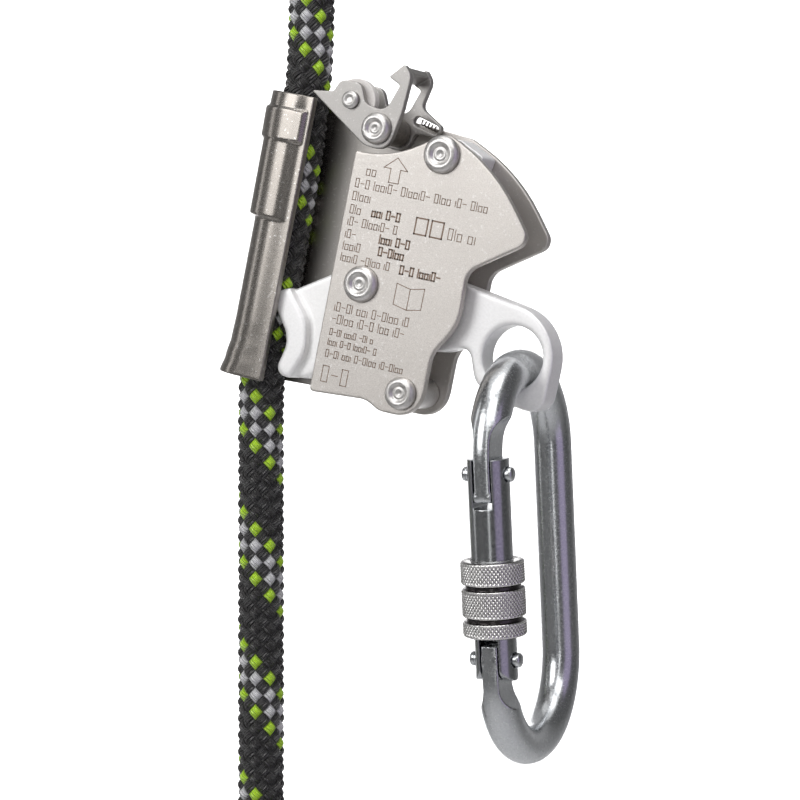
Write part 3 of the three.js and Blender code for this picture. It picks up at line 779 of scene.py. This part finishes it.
def trough_mesh():
    """The curled left edge of the back plate, with rounded top and bottom edges."""
    rings = 190
    stations = [
        (TROUGH_BOTTOM + EDGE_ROUND * (1 - math.sin(angle)), EDGE_ROUND * (1 - math.cos(angle)))
        for angle in reversed(EDGE_ANGLES)
    ]
    heights = np.linspace(TROUGH_BOTTOM + EDGE_ROUND, TROUGH_TOP - EDGE_ROUND, rings)
    stations += [(height, 0) for height in heights[1:-1]]
    stations += [
        (TROUGH_TOP - EDGE_ROUND * (1 - math.sin(angle)), EDGE_ROUND * (1 - math.cos(angle)))
        for angle in EDGE_ANGLES
    ]
    return loft("trough", [trough_section(height, thinner) for height, thinner in stations])


def back_plate(material):
    """The CAD plate joined with a fine curl, and softened as one sheet."""
    whole = bmesh.new()
    whole.from_mesh(frame["nodes"]["back_plate"].data)
    whole.transform(BODY.inverted())
    whole.from_mesh(trough_mesh())
    mesh = bpy.data.meshes.new("back_plate_look")
    whole.to_mesh(mesh)
    whole.free()
    piece = new_piece("back_plate_look", mesh, material, BODY)
    soften(piece, SHEET_VOXEL, passes=2, keep=0.3)
    return stand_in(piece, "back_plate")


# ---- engraving ----
ENGRAVED_FACE = -OUTER - 0.00002  # just proud of the plate, so that the marks show
LINE_DEPTH = 0.00006


class Engraving:
    """Thin solid strokes on the front plate's face, in the body's frame."""

    def __init__(self):
        self.points = []
        self.faces = []

    def stroke(self, start, end, width):
        start, end = Vector(start), Vector(end)
        along = (end - start).normalized() * (width / 2)
        across = Vector((-along.y, along.x))
        corners = [start - along - across, end + along - across, end + along + across, start - along + across]
        first = len(self.points)
        for y in (ENGRAVED_FACE, ENGRAVED_FACE + LINE_DEPTH):
            self.points += [(corner.x, y, corner.y) for corner in corners]
        for face in ((0, 1, 2, 3), (7, 6, 5, 4), (0, 4, 5, 1), (1, 5, 6, 2), (2, 6, 7, 3), (3, 7, 4, 0)):
            self.faces.append(tuple(first + corner for corner in face))

    def outline(self, corners, width):
        for start, end in zip(corners, corners[1:] + corners[:1]):
            self.stroke(start, end, width)

    def row(self, left, right, base, height, width):
        """A row of plain marks in groups, where the real plate has a line of words."""
        wide = height * 0.42
        gap = height * 0.26
        shapes = [(1.0, 1.0), (0.0, 1.0), (1.0, 0.66), (1.0, 0.66), (0.0, 0.66), (1.0, 1.0), (1.0, 0.0)]
        shape = int(round((left + right - base) * 5000))  # each row starts elsewhere in the list
        group = 3 + shape % 4
        x = left
        while x + wide <= right:
            share_wide, share_high = shapes[shape % len(shapes)]
            low, high = x, x + wide * share_wide
            top = base + height * share_high
            if share_wide and share_high:
                self.outline([(low, base), (high, base), (high, top), (low, top)], width)
            elif share_high:
                self.stroke((low, base), (low, top), width)
            else:
                middle = base + height / 2
                self.stroke((low, middle), (high, middle), width)
            x += wide * share_wide + gap
            shape += 1
            group -= 1
            if not group:
                x += wide
                group = 3 + shape % 5


FINE_LINE = 0.00023
BOLD_LINE = 0.00042
# rows of marks: left, right, base, height, line
ENGRAVED_ROWS = [
    (0.0238, 0.0278, 0.0203, 0.0024, FINE_LINE),
    (0.0213, 0.0595, 0.0168, 0.0022, FINE_LINE),
    (0.0212, 0.0272, 0.0134, 0.0022, FINE_LINE),
    (0.0212, 0.0250, 0.0099, 0.0022, FINE_LINE),
    (0.0276, 0.0362, 0.0101, 0.0021, BOLD_LINE),
    (0.0500, 0.0592, 0.0083, 0.0028, FINE_LINE),
    (0.0212, 0.0368, 0.0068, 0.0021, FINE_LINE),
    (0.0212, 0.0252, 0.0035, 0.0021, FINE_LINE),
    (0.0312, 0.0398, 0.0037, 0.0021, BOLD_LINE),
    (0.0212, 0.0282, 0.0003, 0.0021, FINE_LINE),
    (0.0316, 0.0400, 0.0006, 0.0021, BOLD_LINE),
    (0.0212, 0.0365, -0.0027, 0.0020, FINE_LINE),
    (0.0386, 0.0505, -0.0029, 0.0021, BOLD_LINE),
    (0.0222, 0.0440, -0.0158, 0.0022, FINE_LINE),
    (0.0222, 0.0440, -0.0190, 0.0022, FINE_LINE),
    (0.0222, 0.0350, -0.0222, 0.0016, FINE_LINE),
    (0.0222, 0.0370, -0.0249, 0.0016, FINE_LINE),
    (0.0222, 0.0460, -0.0280, 0.0018, FINE_LINE),
    (0.0222, 0.0325, -0.0346, 0.0042, FINE_LINE),
]


def engraving(material):
    marks = Engraving()
    for left, right, base, height, width in ENGRAVED_ROWS:
        marks.row(left, right, base, height, width)
    arrow = [
        (0.0319, 0.0262), (0.0353, 0.0232), (0.0333, 0.0232), (0.0333, 0.0196),
        (0.0305, 0.0196), (0.0305, 0.0232), (0.0285, 0.0232),
    ]
    marks.outline(arrow, FINE_LINE)
    book, book_low, book_high = 0.0425, -0.0117, -0.0062
    page_half, page_rise = 0.0040, 0.0008
    page_low, page_high = book_low + page_rise, book_high + page_rise
    for side in (-1, 1):
        page = book + side * page_half
        marks.stroke((book, book_low), (page, page_low), FINE_LINE)
        marks.stroke((book, book_high), (page, page_high), FINE_LINE)
        marks.stroke((page, page_low), (page, page_high), FINE_LINE)
    marks.stroke((book, book_low), (book, book_high), FINE_LINE)
    box_places, box_half, box_low, box_high = (0.0421, 0.0466), 0.0017, 0.0080, 0.0122
    for x in box_places:
        low, high = x - box_half, x + box_half
        marks.outline([(low, box_low), (high, box_low), (high, box_high), (low, box_high)], BOLD_LINE)
    mesh = mesh_of("plate_engraving", marks.points, marks.faces, smooth=False)
    piece = new_piece("plate_engraving", mesh, material, BODY)
    fix_place(piece)
    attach(piece, "frame")
    return piece


# ---- rivets ----
SHANK = 0.0025
LATCH_FRONT = OUTER - 0.0002
# node, centre, radius of the shank, radius of the head, distance from the middle to the front face
RIVETS = [
    ("top_rivet", (0.0440, 0.0292), SHANK, 0.00495, OUTER),
    ("bottom_rivet", (0.0456, -0.0329), SHANK, 0.0043, OUTER),
    ("cam_axle", (0.0285, -0.0076), 0.0035, 0.0048, OUTER),
    ("latch_pivot_rivet", (0.0242, 0.0326), SHANK, 0.00415, LATCH_FRONT),
]
RIVET_HEIGHT = 0.0019
# profiles of the heads: (share of the head's radius, share of its height)
DIMPLED_HEAD = [
    (0, 0.45), (0.10, 0.47), (0.22, 0.62), (0.30, 0.62), (0.40, 0.50),
    (0.52, 0.86), (0.66, 1.0), (0.84, 0.86), (0.98, 0.40), (1, 0),
]
PLAIN_HEAD = [(1, 0), (0.8, 0.68), (0, 0.8)]


def rivet(node, centre, shank, head, front, material):
    """A rivet along Y: a dimpled dome with a rolled rim in front, a plain head behind."""
    back = -OUTER - FIT
    profile = rounded_profile([(head * out, front + RIVET_HEIGHT * up) for out, up in DIMPLED_HEAD])
    profile += [(shank, front), (shank, back)]
    profile += rounded_profile([(head * out, back - RIVET_HEIGHT * up) for out, up in PLAIN_HEAD])
    place = BODY @ Matrix.Translation((centre[0], 0, centre[1])) @ Matrix.Rotation(math.pi / 2, 4, "X")
    piece = new_piece(node + "_look", turned(node, profile), material, place)
    even_normals(piece)
    return stand_in(piece, node)


# ---- springs ----
def coil(start, along, side, radius, turns, pitch):
    """Points of a helix from a start along a direction."""
    per_turn = 16
    along = Vector(along).normalized()
    side = Vector(side)
    side = (side - along * side.dot(along)).normalized()
    other = along.cross(side)
    points = []
    for step in range(turns * per_turn + 1):
        angle = 2 * math.pi * step / per_turn
        points.append(
            Vector(start)
            + along * (pitch * step / per_turn)
            + radius * (math.cos(angle) * side + math.sin(angle) * other)
        )
    return points


def latch_spring(material):
    low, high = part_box("latch_spring")
    middle = BODY.inverted() @ ((low + high) / 2)
    along = Vector((0.006, 0, -0.0016)).normalized()
    turns = 5
    pitch = 0.00105
    coil_radius = 0.00062
    wire_radius = 0.0002
    start = middle - along * (turns * pitch / 2)
    points = coil(start, along, (0, 1, 0), coil_radius, turns, pitch)
    mesh = wire("latch_spring_look", points, wire_radius)
    return stand_in(new_piece("latch_spring_look", mesh, material, BODY), "latch_spring")


# ---- connector, described about the centre of its top bend ----
BAR_RADIUS = 0.005
BEND_RADIUS = 0.0218
STRAIGHT = 0.0536
GATE_RADIUS = 0.0053
KNUCKLE_RADIUS = GATE_RADIUS - 0.0004
GATE_TOP = 0.0017
HINGE_DROP = -0.049
NOSE_DROP = -0.0023
TONGUE_HALF = 0.0022
SLOT_HALF = 0.0025
TONGUE_TOP = 0.003
TONGUE_END = -0.0091
TONGUE_DEPTH = 0.0086
LIP_RADIUS = 0.0014  # rolled lip across the tongue's end
LIP_HALF = 0.00235
LIP_REACH = 0.0006  # how far the lip stands in front of the tongue, inside the sleeve's bore
PIN_ROOM = 0.00195
SCALLOP = 0.007
SHOULDER = 0.0045
KNEE_TOP = -0.0560  # where the lower run-outs start
UPPER_SLOT_END = -0.0106
LOWER_SLOT_END = -0.0427
GATE_AXIS = -BEND_RADIUS
EYE = BODY @ Vector((0.0719, 0, -0.0179))
EYE_RADIUS = 0.0083
HANG_SHIFT = 0.0009
LEAN = Matrix.Rotation(math.radians(6.3), 4, "X")
CONNECTOR = Matrix.Translation((
    EYE.x + HANG_SHIFT,
    0,
    EYE.z - EYE_RADIUS + BAR_RADIUS + 2 * FIT - BEND_RADIUS,
)) @ LEAN


def oval_path():
    """The bar's centre line, from the nose over the top bend, down the spine and round to the hinge."""
    nose_stub = 0.0075
    hinge_stub = 0.004
    bend_steps = 56
    spine_steps = 20
    points = [(0, GATE_AXIS, -nose_stub * share) for share in (1, 0.66, 0.33)]
    for step in range(bend_steps + 1):
        angle = math.pi * step / bend_steps
        points.append((0, -BEND_RADIUS * math.cos(angle), BEND_RADIUS * math.sin(angle)))
    for step in range(1, spine_steps):
        points.append((0, BEND_RADIUS, -STRAIGHT * step / spine_steps))
    for step in range(bend_steps + 1):
        angle = math.pi * step / bend_steps
        points.append((0, BEND_RADIUS * math.cos(angle), -STRAIGHT - BEND_RADIUS * math.sin(angle)))
    for share in (0.25, 0.5, 0.75, 1):
        points.append((0, GATE_AXIS, -STRAIGHT + share * (STRAIGHT + HINGE_DROP + hinge_stub)))
    return points


def cross_rod(name, radius, half, y, z):
    """A closed cylinder along X."""
    place = Matrix.Translation((0, y, z)) @ Matrix.Rotation(math.pi / 2, 4, "Y")
    return cylinder_mesh(name, radius, -half, half, place)


def connector_body(material):
    width = 0.016  # wider than the bar
    piece = new_piece("connector_body_look", wire("bar", oval_path(), BAR_RADIUS, 48), material)
    nose_height = TONGUE_TOP - TONGUE_END
    combine(piece, [
        box_mesh(
            "nose",
            (2 * TONGUE_HALF, TONGUE_DEPTH, nose_height),
            (0, GATE_AXIS, TONGUE_TOP - nose_height / 2),
        ),
        cross_rod("knuckle", KNUCKLE_RADIUS, TONGUE_HALF, GATE_AXIS, HINGE_DROP),
    ], "UNION")
    lip_y = GATE_AXIS - TONGUE_DEPTH / 2 - LIP_REACH + LIP_RADIUS
    lip = cross_rod("lip", LIP_RADIUS, LIP_HALF, lip_y, TONGUE_END + LIP_RADIUS)
    top = GATE_TOP + SHOULDER
    cuts = []
    for side in (-1, 1):
        x = side * (TONGUE_HALF + width / 2)
        cuts.append(box_mesh("flat", (width, width, top - KNEE_TOP), (x, GATE_AXIS, (top + KNEE_TOP) / 2)))
        for height in (top, KNEE_TOP):
            run_out = Matrix.Translation((side * (TONGUE_HALF + SCALLOP), GATE_AXIS, height))
            run_out = run_out @ Matrix.Rotation(math.pi / 2, 4, "X")
            cuts.append(cylinder_mesh("run_out", SCALLOP, -width / 2, width / 2, run_out, 72))
    knee_top = HINGE_DROP + KNUCKLE_RADIUS
    between = TONGUE_END - knee_top
    cuts.append(box_mesh("between", (2 * width, width, between), (0, GATE_AXIS, knee_top + between / 2)))
    cuts.append(box_mesh("mouth", (width, width, 2 * PIN_ROOM), (0, GATE_AXIS + width / 2, NOSE_DROP)))
    cuts.append(cross_rod("nose_seat", PIN_ROOM, width, GATE_AXIS, NOSE_DROP))
    cuts.append(cross_rod("hinge_hole", PIN_ROOM, width, GATE_AXIS, HINGE_DROP))
    combine(piece, cuts, "DIFFERENCE")
    combine(piece, [lip], "UNION")
    piece.matrix_world = CONNECTOR
    soften(piece, voxel=0.00025, passes=6)
    return stand_in(piece, "connector_body")


def gate_barrel(material):
    reach = 0.02  # longer than anything it cuts
    heel = GATE_RADIUS - 0.0001
    column = Matrix.Translation((0, GATE_AXIS, 0))
    barrel = cylinder_mesh("gate_barrel_look", GATE_RADIUS, HINGE_DROP - heel, GATE_TOP, column, 72)
    piece = new_piece("gate_barrel_look", barrel, material)
    heel_box = box_mesh("heel", (reach, reach, reach), (0, GATE_AXIS, HINGE_DROP - reach / 2))
    lower = new_piece("heel_block", heel_box, material)
    combine(lower, [cross_rod("heel_round", heel, reach, GATE_AXIS, HINGE_DROP)], "DIFFERENCE")
    heel_block = lower.data
    bpy.data.objects.remove(lower)
    combine(piece, [
        box_mesh("upper", (2 * SLOT_HALF, reach, reach), (0, GATE_AXIS, UPPER_SLOT_END + reach / 2)),
        box_mesh("lower", (2 * SLOT_HALF, reach, reach), (0, GATE_AXIS, LOWER_SLOT_END - reach / 2)),
        heel_block,
        cross_rod("nose_hole", PIN_ROOM, reach, GATE_AXIS, NOSE_DROP),
        cross_rod("hinge_hole", PIN_ROOM, reach, GATE_AXIS, HINGE_DROP),
    ], "DIFFERENCE")
    piece.matrix_world = CONNECTOR
    soften(piece, voxel=0.0002, passes=4)
    return stand_in(piece, "gate_barrel")


def gate_pin(node, height, material):
    head = 0.0019
    half = 0.007
    start = GATE_RADIUS + FIT
    edge = 0.0004
    dome = rounded_profile([
        (0, half),
        (head * 0.45, half),
        (head * 0.9, half - edge),
        (head, start + edge),
        (head, start),
    ])
    profile = dome + [(PIN_ROOM - FIT, start), (PIN_ROOM - FIT, -start)]
    profile += [(radius, -along) for radius, along in reversed(dome)]
    place = CONNECTOR @ Matrix.Translation((0, GATE_AXIS, height)) @ Matrix.Rotation(math.pi / 2, 4, "Y")
    piece = new_piece(node + "_look", turned(node, profile, 48), material, place)
    even_normals(piece)
    return stand_in(piece, node)


# ---- lock sleeve ----
SLEEVE_RADIUS = 0.0081
SLEEVE_LENGTH = 0.019
SLEEVE_TOP = -0.0238
SLEEVE_NECK = 0.007
SLEEVE_BANDS = [(0, 0.0059), (0.0069, 0.0141), (0.0151, SLEEVE_LENGTH)]
KNURLS = 48  # ridges that run each way round the sleeve
KNURL_STEPS = 8  # mesh steps across a ridge
KNURL_DEPTH = 0.0004
KNURL_HEIGHT = 0.0013  # along the sleeve, from one ridge to the next
PLAIN_RIM = 0.35  # share of a band's rounded edge that has no knurl
HOLLOW_LAYER = "hollows"


def sleeve_radius(depth):
    """Radius of the plain sleeve at a depth below its top, and how much of it is knurled."""
    edge = 0.0006
    for low, high in SLEEVE_BANDS:
        if low <= depth <= high:
            inside = min(depth - low, high - depth)
            share = min(1, inside / edge)
            rounded = 1 - (1 - share) ** 2
            return SLEEVE_RADIUS - edge * (1 - rounded), min(1, max(0, inside / edge - PLAIN_RIM))
    return SLEEVE_NECK, 0


def lock_sleeve(material):
    """Three knurled bands. The knurl's ridges cross, so each cell of it is a small pyramid."""
    around = KNURLS * KNURL_STEPS
    rings = int(SLEEVE_LENGTH / (KNURL_HEIGHT / KNURL_STEPS))
    bore = GATE_RADIUS + FIT
    angles = 2 * math.pi * np.arange(around) / around
    sections = [[(bore * math.cos(a), bore * math.sin(a), SLEEVE_TOP) for a in angles]]
    hollows = [np.zeros(around)]
    for ring in range(rings + 1):
        depth = SLEEVE_LENGTH * ring / rings
        radius, knurled = sleeve_radius(depth)
        turn = angles * KNURLS / (2 * math.pi)
        right = np.abs((turn + depth / KNURL_HEIGHT) % 1 - 0.5) * 2
        left = np.abs((turn - depth / KNURL_HEIGHT) % 1 - 0.5) * 2
        reach = radius - KNURL_DEPTH * knurled * np.maximum(right, left)
        hollows.append((SLEEVE_RADIUS - reach) / (SLEEVE_RADIUS - SLEEVE_NECK))
        height = SLEEVE_TOP - depth
        sections.append([(r * math.cos(a), r * math.sin(a), height) for r, a in zip(reach, angles)])
    bottom = SLEEVE_TOP - SLEEVE_LENGTH
    sections.append([(bore * math.cos(a), bore * math.sin(a), bottom) for a in angles])
    hollows.append(np.zeros(around))
    points = [point for section in sections for point in section]
    faces = grid_faces(len(sections), around)
    last = (len(sections) - 1) * around
    for column in range(around):
        following = (column + 1) % around
        faces.append((last + column, last + following, following, column))
    mesh = mesh_of("lock_sleeve_look", points, faces)
    tidy = bmesh.new()
    tidy.from_mesh(mesh)
    bmesh.ops.recalc_face_normals(tidy, faces=tidy.faces)
    tidy.to_mesh(mesh)
    tidy.free()
    layer = mesh.uv_layers.new(name=HOLLOW_LAYER)
    depths = np.concatenate(hollows)
    for loop in mesh.loops:
        layer.data[loop.index].uv = (depths[loop.vertex_index], 0.5)
    place = CONNECTOR @ Matrix.Translation((0, GATE_AXIS, 0))
    return stand_in(new_piece("lock_sleeve_look", mesh, material, place), "lock_sleeve")


# ---- assembly ----
plate = finish("plate_steel")
channel = shaded_channel_steel()
latch = finish("latch_steel")
bright = finish("rivet_steel")
dark = finish("dark_steel")
cast = finish("cast_aluminium")
zinc = finish("zinc_steel")
gate = finish("shaded_gate_zinc")
knurl = knurled_zinc()
sprung = finish("spring_steel")
bush = finish("bronze")
nylon = finish("roller_nylon")

back_plate(channel)
softened("front_plate", plate, SHEET_VOXEL, passes=5, keep=0.25)
engraving(finish("engraving_brown"))
for node, centre, shank, head, face in RIVETS:
    rivet(node, centre, shank, head, face + FIT, bright)
refined("top_spacer", dark)
refined("bottom_spacer", bright)
refined("cam_bush", bush)
refined("cam_washer", nylon)
refined("cam_spring", sprung, WIRE_EDGE, 1)
softened("cam_lever", cast, voxel=0.00030, passes=36, keep=0.4)
softened("gravity_pawl", cast, voxel=0.00025, passes=4, keep=0.4)
softened("latch_frame", latch, voxel=0.00018, passes=3, keep=0.4)
refined("latch_barrel", dark)
refined("latch_roller", nylon)
refined("latch_roller_rivet", bright, radius=0.0001, segments=2)
latch_spring(dark)
connector_body(zinc)
gate_barrel(gate)
gate_pin("gate_hinge_pin", HINGE_DROP, zinc)
gate_pin("gate_nose_pin", NOSE_DROP, zinc)
refined("gate_plunger", sprung)
refined("gate_spring", sprung, WIRE_EDGE, 1)
lock_sleeve(knurl)


# ---- floor, backdrop and light ----
FLOOR_HEIGHT = -1.0
OBJECT_MIDDLE = (0.02, 0, -0.04)


def backdrop():
    """A pale floor that curves up into a wall behind the object."""
    half = 6.0
    front = -2.5
    wall = 1.6
    bend = 0.8
    bend_steps = 16
    top = 3.0
    profile = [(front, FLOOR_HEIGHT)]
    for step in range(bend_steps + 1):
        angle = math.radians(90 * step / bend_steps)
        profile.append((wall - bend + bend * math.sin(angle), FLOOR_HEIGHT + bend * (1 - math.cos(angle))))
    profile.append((wall, top))
    points = [(x, y, z) for y, z in profile for x in (-half, half)]
    mesh = mesh_of("backdrop", points, grid_faces(len(profile), 2, closed=False))
    turn = Matrix.Rotation(VIEW_AZIMUTH, 4, "Z")
    new_piece("backdrop", mesh, finish("studio_paper"), turn)


def add_light(lamp, place):
    """Places a light in the camera's own turned frame, aimed at its mark and out of the camera's sight."""
    turn = Matrix.Rotation(VIEW_AZIMUTH, 4, "Z")
    light = bpy.data.objects.new(lamp.name, lamp)
    start, aim = place
    direction = turn @ Vector(aim) - turn @ Vector(start)
    light.location = turn @ Vector(start)
    light.rotation_euler = direction.to_track_quat("-Z", "Y").to_euler()
    light.visible_camera = False
    bpy.context.scene.collection.objects.link(light)


def soft_light(name, place, width, height, power, colour=(1, 1, 1)):
    """A rectangular light, aimed at the object."""
    lamp = bpy.data.lights.new(name, "AREA")
    lamp.shape = "RECTANGLE"
    lamp.size = width
    lamp.size_y = height
    lamp.energy = power
    lamp.color = colour
    add_light(lamp, (place, OBJECT_MIDDLE))


SPOT_ANGLE = math.radians(48)
SPOT_BLEND = 0.6
SPOT_RADIUS = 0.1


def wall_light(name, place, aim, power):
    """A soft-edged spot that whitens just the part of the wall behind the object."""
    lamp = bpy.data.lights.new(name, "SPOT")
    lamp.energy = power
    lamp.spot_size = SPOT_ANGLE
    lamp.spot_blend = SPOT_BLEND
    lamp.shadow_soft_size = SPOT_RADIUS
    add_light(lamp, (place, aim))


def add_world(strength):
    world = bpy.data.worlds.new("world")
    world.use_nodes = True
    background = world.node_tree.nodes["Background"]
    background.inputs["Color"].default_value = (1, 1, 1, 1)
    background.inputs["Strength"].default_value = strength
    bpy.context.scene.world = world


bpy.context.scene.view_settings.view_transform = "Standard"
backdrop()
add_world(0.12)
# name, place in the camera's turned frame, width, height, power in watts
soft_light("overhead", (0, 0, 2.4), 2.6, 2.6, 18)
soft_light("front_left", (-0.80, -0.72, 0.42), 0.55, 0.80, 5.4)
soft_light("left", (-1.0, 0.10, 0.2), 0.14, 1.0, 1.0)
soft_light("top", (0.1, -0.3, 1.1), 0.7, 0.4, 3.0)
soft_light("fill", (0.10, -0.95, 0.85), 1.0, 0.6, 5.0)
soft_light("streak", (-0.13, -1.1, 0.05), 0.08, 1.0, 0.8)
soft_light("right_panel", (0.75, -0.75, 0.0), 0.75, 1.2, 1.2, (0.76, 0.62, 1.0))
# name, place, mark, power in watts
wall_light("wall_left", (-0.8, 0.2, 0.5), (-0.15, 1.5, -0.05), 110)
wall_light("wall_right", (0.8, 0.2, 0.5), (0.15, 1.5, -0.05), 110)
